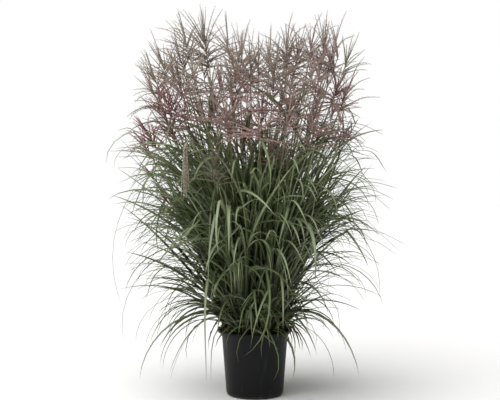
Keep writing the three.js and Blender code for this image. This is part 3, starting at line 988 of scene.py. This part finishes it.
# and those that make the crown's two crests and its shoulders: the foot of the plume, its ripeness, how
# green it still is, and how full, wide and long it is. A free one may stand past the crown's edge
crests = [
    {"foot": (-276, 10, 895), "ripe": 0.75, "olive": 0.3},
    {"foot": (-246, -60, 925), "ripe": 0.65, "olive": 0.2},
    {"foot": (-268, -80, 850), "ripe": 0.5, "olive": 0.2},
    {"foot": (-136, -50, 980), "ripe": 0.6, "racemes": 46, "reach": 1.18},
    {"foot": (-76, 70, 1000), "ripe": 1.0, "racemes": 18},
    {"foot": (-34, -40, 955), "ripe": 1.0, "racemes": 24},
    {"foot": (40, 40, 945), "ripe": 0.75},
    {"foot": (112, -40, 950), "ripe": 0.5, "racemes": 26},
    {"foot": (190, -20, 985), "ripe": 0.55, "racemes": 36},
    {"foot": (224, -60, 955), "ripe": 0.5, "racemes": 36},
    {"foot": (206, -110, 935), "ripe": 0.45, "racemes": 30},
    {"foot": (222, -80, 868), "ripe": 0.05, "olive": 0.3, "racemes": 36, "wide": 1.15, "reach": 0.78,
     "free": True},
    {"foot": (246, -60, 850), "ripe": 0.2, "olive": 0.6, "racemes": 11, "wide": 0.85, "reach": 0.7,
     "free": True},
    {"foot": (262, 40, 962), "ripe": 0.8, "olive": 1.0, "racemes": 11, "wide": 0.7, "reach": 0.8,
     "free": True},
    {"foot": (-232, -110, 820), "ripe": 0.1, "young": True},
    {"foot": (-190, -90, 800), "ripe": 0.2, "young": True},
    {"foot": (-205, 40, 865), "ripe": 0.5},
    {"foot": (-282, -110, 740), "ripe": 0, "young": True, "racemes": 27, "wide": 0.62, "reach": 0.75,
     "free": True},
    # small ones, the last three of them just out of their sheaths
    {"foot": (-285, -60, 640), "ripe": 0.4, "young": True, "wide": 0.8, "reach": 0.6, "racemes": 10},
    {"foot": (-250, -120, 585), "ripe": 0, "young": True, "wide": 0.14, "reach": 0.45, "racemes": 8},
    {"foot": (228, -70, 735), "ripe": 0.1, "young": True, "wide": 0.14, "reach": 0.45, "racemes": 8},
    {"foot": (-96, -150, 905), "ripe": 0.2, "young": True, "wide": 0.12, "reach": 0.55, "racemes": 9},
    # one whose stem has bowed
    {"foot": (-176, -215, 758), "ripe": 1.0, "racemes": 20, "tassel": True},
    {"foot": (-20, -160, 850), "ripe": 0.2},
    {"foot": (70, -160, 835), "ripe": 0.4},
    {"foot": (150, -200, 740), "ripe": 0.25, "young": True},
    {"foot": (228, -120, 770), "ripe": 0.3, "young": True},
]
# the crown ripens from the top
ripening = {
    "crimson": 450, "silver": 1050,  # a plume is red with its foot at the first height, silver at the second
    "weight": 0.3, "varies": 0.12,
    "green": 710,  # those below this height are still green
    "greenBy": 60, "greenMost": 0.8,
}
# and in patches: x and height of their middles, reach, and ripeness from 0 for crimson through 0.2 for pink
# and 0.5 for dusky to 1 for silver beige
patches = [
    {"at": (-245, 790), "reach": 85, "ripe": 0.0},
    {"at": (-30, 850), "reach": 95, "ripe": 0.2},
    {"at": (225, 850), "reach": 60, "ripe": 0.08},
    {"at": (205, 965), "reach": 95, "ripe": 0.48},
    {"at": (-52, 975), "reach": 88, "ripe": 1.0},
    {"at": (-150, 990), "reach": 35, "ripe": 0.6},
    {"at": (-260, 930), "reach": 70, "ripe": 0.72},
    {"at": (-100, 640), "reach": 60, "ripe": 0.45},
]
# the crown is thin in one place, where the stems show
thin = {"at": (-125, 885), "reach": 75, "less": 0.75}


def nearness(foot, patch):
    far = math.hypot(foot.x / mm - patch["at"][0], foot.z / mm - patch["at"][1]) / patch["reach"]
    return math.exp(-far * far)


def ripeness(foot):
    height = (foot.z / mm - ripening["crimson"]) / (ripening["silver"] - ripening["crimson"])
    total, weight = clamped(height) * ripening["weight"], ripening["weight"]
    for patch in patches:
        share = nearness(foot, patch)
        total, weight = total + share * patch["ripe"], weight + share
    return clamped(total / weight + eitherWay(ripening["varies"]))


def fullness(foot):
    return 1 - thin["less"] * nearness(foot, thin)


def nearestTuft(top):
    return min(range(crown["tufts"]), key=lambda t: (footOf(t).xy * side["splay"] - top.xy).length)


def sideHeads():
    heads = []
    for j in range(side["heads"]):
        out = side["spread"] * math.sqrt((j + 0.5) / side["heads"])
        turn = j * goldenAngle + side["firstTurn"]
        level = (j * side["stride"] % side["heads"]) / side["heads"]
        high = mix(side["highest"], side["lowest"], level) - side["droop"] * (out / side["spread"]) ** 2
        foot = Vector((out * math.cos(turn), out * math.sin(turn), high)) * mm
        heads.append({"foot": foot, "ripe": ripeness(foot), "young": level > stem["ripe"]})
    heads += [{"young": False, **crest, "foot": Vector(crest["foot"]) * mm} for crest in crests]
    for head in heads:
        head["tuft"] = nearestTuft(head["foot"])
        head.setdefault("racemes", round(plume["sideRacemes"] * fullness(head["foot"])))
    return heads


def growSideStem(bm, start, top):
    path = stemPath(start, top)
    layCane(bm, caneTemplate, smoothed(path, cane["steps"]), cane["sideRadii"], (draw.random(), 0.2, 0, 1))
    kind = leafKinds["sideStem"]
    for k in range(side["leaves"]):
        share = side["lowestLeaf"] + side["leafStep"] * k + between(0, 0.1)
        begin, along = pointOn(path, share)
        heading = math.atan2(begin.y, begin.x)
        points = firstWithRoom(lambda: leafPath(kind, begin, along, heading, share=share))
        if points:
            layLeaf(bm, points, greenTone(), within(kind["width"]), eitherWay(blade["twist"]),
                    eitherWay(kind["roll"]))
    return path


def growPlant():
    for tuft in range(crown["tufts"]):
        growTuft(tuft)
    print("tufts grown")
    for s in stems:
        foot, bm = s["foot"], startPiece()
        number = racemeKinds["young" if s["young"] else "ripe"]["number"]
        green = clamped((ripening["green"] - foot.z / mm) / ripening["greenBy"]) * ripening["greenMost"]
        head = {"young": s["young"], "ripe": ripeness(foot), "racemes": round(number * fullness(foot)),
                "olive": green}
        growPlume(bm, foot, s["along"], head, s["racemePaths"])
        finishPiece(bm, f"plume_{s['n'] + 1:02d}", [plumeMaterial], "panicle", f"panicle_{s['n'] + 1:02d}")
    print("plumes grown")
    heads = sideHeads()
    for tuft in range(crown["tufts"]):
        own = [head for head in heads if head["tuft"] == tuft]
        if not own:
            continue
        foot = footOf(tuft)
        green, silk = startPiece(), startPiece()
        for k, head in enumerate(own):
            turn = math.atan2(head["foot"].y - foot.y, head["foot"].x - foot.x)
            path = growSideStem(green, foot + facing(turn + k) * side["footCircle"] * mm, head["foot"])
            along = (path[-1] - path[-2]).normalized()
            if head.get("tassel"):
                growTassel(silk, path[-1], along, head)
            else:
                growPlume(silk, path[-1] + along * stem["seat"] * mm, along, head)
        finishPiece(green, f"side_stems_{tuft + 1:02d}", [leafMaterial, caneMaterial, sheathMaterial],
                    "foliage")
        finishPiece(silk, f"side_plumes_{tuft + 1:02d}", [plumeMaterial], "panicle")
    print("side stems grown")


# leaf of silver grass: firm, faintly waxed, with fine lengthwise veins and a pale midrib, with painted shade
# deep in the clump and at each blade's foot, and painted light high up and far out
leafMaterial, tree, shader = addMaterial("grass blade", {"Roughness": 0.45, "Specular IOR Level": 0.28,
                                                         "Sheen Weight": 0.03, "Sheen Roughness": 0.5})
shade, dryness, depth = toneOf(tree)[:3]
across, along = placeOn(tree)
veins = fibresOf(tree, across, along, shade, (9.0, 1.6, 40.0), Detail=3.0, Roughness=0.6)
coords = addNode(tree, "TexCoord", {}).outputs["Object"]
# height, for painted light on the upper leaves and less painted shade there
height = addNode(tree, "SeparateXYZ", {0: coords}).outputs["Z"]
# distance out from the middle, for painted light on the outer leaves
level = addNode(tree, "Mapping", {"Vector": coords, "Scale": (1, 1, 0)})
outward = addNode(tree, "VectorMath", {0: level}, operation="LENGTH")
offCentre = addNode(tree, "Math", {0: across, 1: 0.5}, operation="SUBTRACT")
offCentre = addNode(tree, "Math", {0: offCentre}, operation="ABSOLUTE")
midrib = addNode(tree, "MapRange", {0: offCentre, 1: 0.025, 2: 0.1, 3: 0.9, 4: 0.0})
ribs = addNode(tree, "Math", {0: veins, 1: midrib}, operation="SUBTRACT")
# painted shade deep in the clump (less high up), painted light high up and far out, and painted shade at each
# blade's foot, more on deep leaves
green = coated(tree, "#2b3a1b", (shade, "#596a3e"), ([depth, (height, 0.38, 0.68, 0.92, 0.4)], "#18240d"),
               ((height, 0.48, 0.62, 0.0, 0.3), "#76845a"), ((outward, 0.26, 0.4, 0.0, 0.6), "#9aa58c"),
               ((shade, 0.85, 0.92, 0.0, 0.9), "#949f80"), ((veins, 0.35, 0.7, 0.0, 0.4), "#6a7a42"),
               (midrib, "#a0a985"), ([(along, 0.0, 0.6, 0.95, 0.0), (depth, 0.0, 0.8, 0.35, 1.0)], "#10170a"))
dry = addNode(tree, "Math", {0: [(along, 0.84, 1.0), shade], 1: dryness}, operation="MAXIMUM")
wire(tree, shader, {
    "Base Color": coated(tree, green, (dry, coated(tree, "#473d2a", (veins, "#6c6148")))),
    "Roughness": (veins, 0.3, 0.7, 0.34, 0.5),
    "Normal": addNode(tree, "Bump", {"Height": ribs, "Strength": 0.35, "Distance": 0.0004}),
})

# cane: smooth and round, bloomed, with a ring at each joint, redder towards the top
caneMaterial, tree, shader = addMaterial("grass cane", {"Roughness": 0.42, "Specular IOR Level": 0.45})
across, along = placeOn(tree)
fibre = fibresOf(tree, across, along, toneOf(tree)[0], (6.0, 9.0, 30.0), Detail=2.0)
joint = addNode(tree, "Math", {0: [along, cane["joints"]], 1: 0.06}, operation="ADD")
joint = addNode(tree, "Math", {0: joint}, operation="FRACT")
wire(tree, shader, {
    "Base Color": coated(tree, "#556036", (fibre, "#858858"), ((along, 0.55, 0.95, 0.0, 0.7), "#7d7257"),
                         ((joint, 0.0, 0.12, 0.8, 0.0), "#a39a70")),
    "Roughness": (fibre, 0.3, 0.7, 0.35, 0.55),
    "Normal": addNode(tree, "Bump", {"Height": fibre, "Strength": 0.25, "Distance": 0.0003}),
})

# dead sheath: papery, split into fibres, brown low down and straw where it is dry
sheathMaterial, tree, shader = addMaterial("dry sheath", {"Roughness": 0.85, "Specular IOR Level": 0.2})
shade, dryness = toneOf(tree)[:2]
fibre = fibresOf(tree, *placeOn(tree), shade, (14.0, 1.5, 30.0), Detail=3.0)
wire(tree, shader, {
    "Base Color": coated(tree, "#3d3022", (dryness, "#a08c5e"), ((fibre, 0.4, 0.7, 0.0, 0.6), "#2c241a")),
    "Normal": addNode(tree, "Bump", {"Height": fibre, "Strength": 0.5, "Distance": 0.0006}),
})

# plume: chaffy spikelets and silky hairs, crimson when young and silver beige when ripe, and where still
# green, with painted shade lower down among the leaves
plumeMaterial, tree, shader = addMaterial("silky plume", {"Roughness": 0.62, "Specular IOR Level": 0.35,
                                                          "Sheen Weight": 0.25, "Sheen Roughness": 0.35})
shade, ripe, hairy, olive = toneOf(tree)
coords = addNode(tree, "TexCoord", {}).outputs["Object"]
height = addNode(tree, "SeparateXYZ", {0: coords}).outputs["Z"]
spots = addNode(tree, "TexNoise", {"Vector": coords, "Scale": 260.0, "Detail": 1.0})
young, pink, dusky, silver = [coated(tree, dark, (shade, pale)) for dark, pale in [
    ("#521f22", "#965857"), ("#785250", "#c09a95"), ("#2b231f", "#79695a"), ("#594d41", "#c2b4a4")]]
husk = coated(tree, young, ((ripe, 0.08, 0.24), pink), ((ripe, 0.25, 0.5), dusky), ((ripe, 0.5, 1.0), silver),
              ((spots, 0.4, 0.65, 0.0, 0.4), "#33261f"))
silk = coated(tree, "#8c5857", ((ripe, 0.08, 0.24), "#ba9590"), ((ripe, 0.25, 0.6), "#978778"),
              ((ripe, 0.6, 1.0), "#cabcac"))
# the green of unripe plumes, with painted shade the lower they stand
unripeAndShaded = coated(tree, "#465230", ((height, 0.72, 0.85), "#737a4a"))
wire(tree, shader, {
    "Base Color": coated(tree, husk, (hairy, silk), ([olive, (hairy, 0.0, 1.0, 1.0, 0.75)], unripeAndShaded)),
    "Normal": addNode(tree, "Bump", {"Height": spots, "Strength": 0.2, "Distance": 0.0003}),
})

growPlant()

# container

pot = {
    "segments": 96, "bevel": 0.7, "sharp": 0.6, "creases": 35, "holes": 6, "holeRadius": 5,
    "holeCircle": 48, "holeSides": 24, "holeMiddle": 3, "drillDepth": 9,
    # radius and height, from the middle of the underside up the outside and down the inside
    "profile": [(0, 0), (26, 0), (30, 4), (67, 4), (70, 0), (76, 0), (80.5, 1.2), (84.0, 4.4), (86.5, 12),
                (92.8, 95), (99, 178), (104.0, 185), (105.5, 192), (111.4, 192), (112.5, 193.2), (112.5, 198),
                (111.9, 199.6), (110.5, 200), (105.2, 200), (103.7, 198.6), (102.7, 187), (97.2, 179),
                (84.7, 13), (81.0, 8.0), (76, 5.8), (0, 5.8)],
}


def spun(profile, segments):
    bm = bmesh.new()
    verts = [bm.verts.new((r * mm, 0, z * mm)) for r, z in profile]
    edges = [bm.edges.new(pair) for pair in zip(verts, verts[1:])]
    bmesh.ops.spin(bm, geom=verts + edges, cent=(0, 0, 0), axis=(0, 0, 1), angle=2 * math.pi, steps=segments,
                   use_merge=True)
    bmesh.ops.remove_doubles(bm, verts=bm.verts, dist=1e-6)
    bmesh.ops.recalc_face_normals(bm, faces=bm.faces)
    return bm


def makePot():
    bm = spun(pot["profile"], pot["segments"])
    sharp = [e for e in bm.edges if len(e.link_faces) == 2 and e.calc_face_angle(0) > pot["sharp"]]
    bmesh.ops.bevel(bm, geom=sharp, offset=pot["bevel"] * mm, affect="EDGES", segments=2, profile=0.5,
                    material=-1)
    piece = finishPiece(bm, "nursery_pot", [potMaterial], "container", "pot")
    drill = bmesh.new()
    for k in range(pot["holes"]):
        turn = k * 2 * math.pi / pot["holes"]
        place = Matrix.Translation((pot["holeCircle"] * math.cos(turn) * mm,
                                    pot["holeCircle"] * math.sin(turn) * mm, pot["holeMiddle"] * mm))
        bmesh.ops.create_cone(drill, cap_ends=True, segments=pot["holeSides"], radius1=pot["holeRadius"] * mm,
                              radius2=pot["holeRadius"] * mm, depth=pot["drillDepth"] * mm, matrix=place)
    cutter = asObject("drill", asMesh(drill, "drill"))
    cut = piece.modifiers.new("holes", "BOOLEAN")
    cut.object = cutter
    applied = bpy.data.meshes.new_from_object(piece.evaluated_get(bpy.context.evaluated_depsgraph_get()))
    piece.modifiers.clear()
    piece.data = applied
    bpy.data.objects.remove(cutter)
    applied.shade_smooth()
    applied.set_sharp_from_angle(angle=math.radians(pot["creases"]))


# polypropylene, injection moulded from recycled stock: near black, satin, dusty, scuffed round the middle
potMaterial, tree, shader = addMaterial("recycled polypropylene",
                                        {"Roughness": 0.5, "Specular IOR Level": 0.18})
coords = addNode(tree, "TexCoord", {}).outputs["Object"]
height = addNode(tree, "SeparateXYZ", {0: coords}).outputs["Z"]
grain = addNode(tree, "TexNoise", {"Vector": coords, "Scale": 900.0, "Detail": 2.0})
flow = addNode(tree, "TexNoise", {"Vector": coords, "Scale": 9.0, "Detail": 4.0, "Distortion": 0.6})
stretched = addNode(tree, "Mapping", {"Vector": coords, "Scale": (55, 55, 6)})
rub = addNode(tree, "TexNoise", {"Vector": stretched, "Scale": 1.0, "Detail": 5.0, "Roughness": 0.7})
scuffs = addNode(tree, "Math", {0: (flow, 0.5, 0.72), 1: (rub, 0.5, 0.72)}, operation="MULTIPLY")
wire(tree, shader, {
    "Base Color": coated(tree, "#090a0a", (flow, "#111313"), ([scuffs, 0.8], "#434b50"),
                         ([(height, 0.012, 0.0, 0.0, 0.5), flow], "#6a6157")),
    "Roughness": addNode(tree, "Math", {0: (flow, 0.3, 0.7, 0.4, 0.55), 1: [scuffs, 0.2]}, operation="ADD"),
    "Normal": addNode(tree, "Bump", {"Height": grain, "Strength": 0.15, "Distance": 0.0003}),
})
makePot()
print("container made")

# soil and litter

soil = {
    "segments": 90, "rings": 26, "edge": 96.8, "top": 178,
    "bottom": [(0, 6.2), (75.6, 6.2), (84.3, 14)],
    "shoulder": (0.2, 4),  # how far in from the edge and below the top it meets the wall
    "waves": (9, 11, 17), "bumps": 2.2, "crumbs": 2.6, "crumbScale": 90,
}
litter = {
    "chips": 240, "chipCircle": 94,
    "chipSides": [(1.6, 5.5), (1.0, 3.0), (0.5, 1.4)],
    "chipLift": 0.9, "chipTilt": 0.4, "chipRough": 0.5, "roughScale": 700, "strawCircle": 92,
    "strawLift": 1.2,
    "lies": 0.8,  # how far over the soil a straw lies
    "rimRing": (62, 97), "rimHeight": (180, 196), "rimAside": 2.2,
}
strawKinds = {
    # on the soil
    "soil": {"number": 90, "tilt": (1.2, 1.5), "length": (18, 60), "bend": (0, 0.35), "swing": 0.8,
             "within": 93, "dry": (0.6, 1), "width": (0.25, 0.7)},
    # dead leaf ends that lie over it between the tufts
    "rim": {"number": 130, "tilt": (0.7, 1.4), "length": (25, 70), "bend": (0, 0.6), "swing": 0.9,
            "within": 99, "dry": (0, 0.75), "width": (0.5, 1.0), "roll": 1},
}


def soilHeight(x, y):
    # x and y in metres, the height in millimetres
    a, b, c = soil["waves"]
    wave = math.sin(x / mm / a + 1) + math.cos(y / mm / b) + math.sin((x + y) / mm / c)
    crumb = noise.fractal(Vector((x, y, 0)) * soil["crumbScale"], 1.0, 2.0, 4)
    return soil["top"] + soil["bumps"] / 3 * wave + soil["crumbs"] * crumb * 0.6


def onSoil(circle, turn, lift):
    radius = circle * math.sqrt(draw.random())
    x, y = radius * math.cos(turn) * mm, radius * math.sin(turn) * mm
    return Vector((x, y, (soilHeight(x, y) + lift) * mm))


def makeSoil():
    edge, rings, top = soil["edge"], soil["rings"], soil["top"]
    profile = [*soil["bottom"], (edge - soil["shoulder"][0], top - soil["shoulder"][1])]
    profile += [(edge * (1 - k / rings), top) for k in range(rings + 1)]
    bm = spun(profile, soil["segments"])
    for v in bm.verts:
        if v.co.z > (top - 1) * mm:
            v.co.z = soilHeight(v.co.x, v.co.y) * mm
    for face in bm.faces:
        face.smooth = True
    finishPiece(bm, "soil_bed", [soilMaterial], "potting_soil", "soil")


def layStraw(bm, kind, start, heading, lies=False):
    points = arched(start, opened(up, heading, within(kind["tilt"])), within(kind["length"]) * mm,
                    within(kind["bend"]), 1, eitherWay(kind["swing"]), blade["shortSteps"])
    for p in points:
        out = math.hypot(p.x, p.y)
        if out > kind["within"] * mm:
            p.x, p.y = p.x * kind["within"] * mm / out, p.y * kind["within"] * mm / out
        if lies:
            p.z = max(p.z, (soilHeight(p.x, p.y) + litter["lies"]) * mm)
    layLeaf(bm, points, (draw.random(), within(kind["dry"]), 0, 1), within(kind["width"]), eitherWay(1),
            eitherWay(kind["roll"]) if "roll" in kind else 0)


def makeLitter():
    bm = startPiece()
    layer = bm.verts.layers.float_color["tone"]
    for k in range(litter["chips"]):
        place = Matrix.Translation(onSoil(litter["chipCircle"], k * goldenAngle, litter["chipLift"]))
        size = Matrix.Diagonal([within(pair) * mm for pair in litter["chipSides"]] + [1])
        place = (place @ Matrix.Rotation(between(0, 6.3), 4, "Z")
                 @ Matrix.Rotation(eitherWay(litter["chipTilt"]), 4, "Y") @ size)
        made = bmesh.ops.create_icosphere(bm, subdivisions=1, radius=1, matrix=place)
        shade = (draw.random(), between(0, 0.5), 1, 1)
        for v in made["verts"]:
            v.co += noise.noise_vector(v.co * litter["roughScale"]) * litter["chipRough"] * mm
            v[layer] = shade
    for k in range(strawKinds["soil"]["number"]):
        start = onSoil(litter["strawCircle"], k * goldenAngle + 1, litter["strawLift"])
        layStraw(bm, strawKinds["soil"], start, between(0, 6.3), lies=True)
    for k in range(strawKinds["rim"]["number"]):
        turn, radius = k * goldenAngle, within(litter["rimRing"]) * mm
        start = Vector((radius * math.cos(turn), radius * math.sin(turn), within(litter["rimHeight"]) * mm))
        layStraw(bm, strawKinds["rim"], start, turn + eitherWay(litter["rimAside"]))
    finishPiece(bm, "soil_litter", [litterMaterial], "potting_soil")


# compost of peat and composted bark: dark, crumbly, dull, with paler fibres
soilMaterial, tree, shader = addMaterial("peat compost", {"Roughness": 0.95, "Specular IOR Level": 0.15})
coords = addNode(tree, "TexCoord", {}).outputs["Object"]
crumb = addNode(tree, "TexNoise", {"Vector": coords, "Scale": 320.0, "Detail": 5.0, "Roughness": 0.65})
flecks = addNode(tree, "TexVoronoi", {"Vector": coords, "Scale": 240.0})
wire(tree, shader, {
    "Base Color": coated(tree, "#15110e", ((crumb, 0.35, 0.65), "#2f2720"),
                         ((flecks, 0.0, 0.16, 0.6, 0.0), "#4a4234")),
    "Normal": addNode(tree, "Bump", {"Height": crumb, "Strength": 0.8, "Distance": 0.0015}),
})

# litter: bark chips and straw, brown to straw by piece
litterMaterial, tree, shader = addMaterial("bark and straw", {"Roughness": 0.85, "Specular IOR Level": 0.2})
shade, dryness = toneOf(tree)[:2]
coords = addNode(tree, "TexCoord", {}).outputs["Object"]
fibre = addNode(tree, "TexNoise", {"Vector": coords, "Scale": 500.0, "Detail": 3.0})
wire(tree, shader, {
    "Base Color": coated(tree, "#28221b", (shade, "#443b2f"), (dryness, "#857c62"),
                         ((fibre, 0.4, 0.7, 0.0, 0.5), "#2a2018")),
    "Normal": addNode(tree, "Bump", {"Height": fibre, "Strength": 0.5, "Distance": 0.0006}),
})

makeSoil()
makeLitter()
print("soil and litter made")

print("triangles:", sum(tally.values()), "largest piece:", max(tally.items(), key=lambda row: row[1]))
